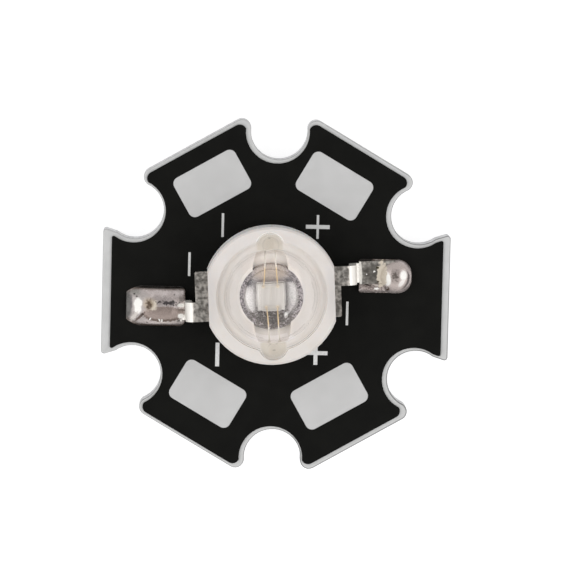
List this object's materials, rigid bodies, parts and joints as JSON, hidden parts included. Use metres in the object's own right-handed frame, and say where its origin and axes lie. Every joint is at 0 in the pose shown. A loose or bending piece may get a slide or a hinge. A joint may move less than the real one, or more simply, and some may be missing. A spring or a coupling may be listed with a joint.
{
  "type": "high power led on star board",
  "caption": "High power LED emitter with a clear domed lens, soldered by two bent leads on a black star-shaped aluminium circuit board with edge notches and bare wire pads.",
  "frame": {"origin": "centre of the board's flat aluminium back", "axes": "+Z from the back to the light side; +X towards the lobe of the plus lead, -X towards the lobe of the minus lead; +Y towards the notch between the two upper wire pads"},
  "size_m": [0.0202, 0.0202, 0.0071],
  "materials": {
    "core_aluminium": "satin",
    "insulating_layer": "satin",
    "track_copper": "satin",
    "mask_black": "satin",
    "pad_tin": "satin",
    "mark_print": "matte",
    "bonding_layer": "matte",
    "slug_silver": "polished",
    "housing_white": "satin",
    "lead_silver": "satin",
    "die_glue": "matte",
    "die_face": "satin",
    "gold": "polished",
    "gel_clear": "gloss",
    "lens_clear": "gloss",
    "solder_metal": "polished"
  },
  "bodies": {
    "root": {"aluminium_base": "core_aluminium", "dielectric_layer": "insulating_layer", "copper_track_minus": "track_copper", "copper_track_plus": "track_copper", "thermal_pad": "track_copper", "solder_mask": "mask_black", "wire_pad_minus_upper": "pad_tin", "wire_pad_minus_lower": "pad_tin", "wire_pad_plus_upper": "pad_tin", "wire_pad_plus_lower": "pad_tin", "minus_marks": "mark_print", "plus_marks": "mark_print", "thermal_adhesive": "bonding_layer", "heat_slug": "slug_silver", "housing": "housing_white", "cathode_lead": "lead_silver", "anode_lead": "lead_silver", "die_attach": "die_glue", "led_die": "die_face", "die_contacts": "gold", "bond_wire_upper_left": "gold", "bond_wire_upper_right": "gold", "bond_wire_lower_left": "gold", "bond_wire_lower_right": "gold", "silicone_gel": "gel_clear", "lens": "lens_clear", "solder_joint_minus": "solder_metal", "solder_joint_plus": "solder_metal"}
  },
  "joints": []
}
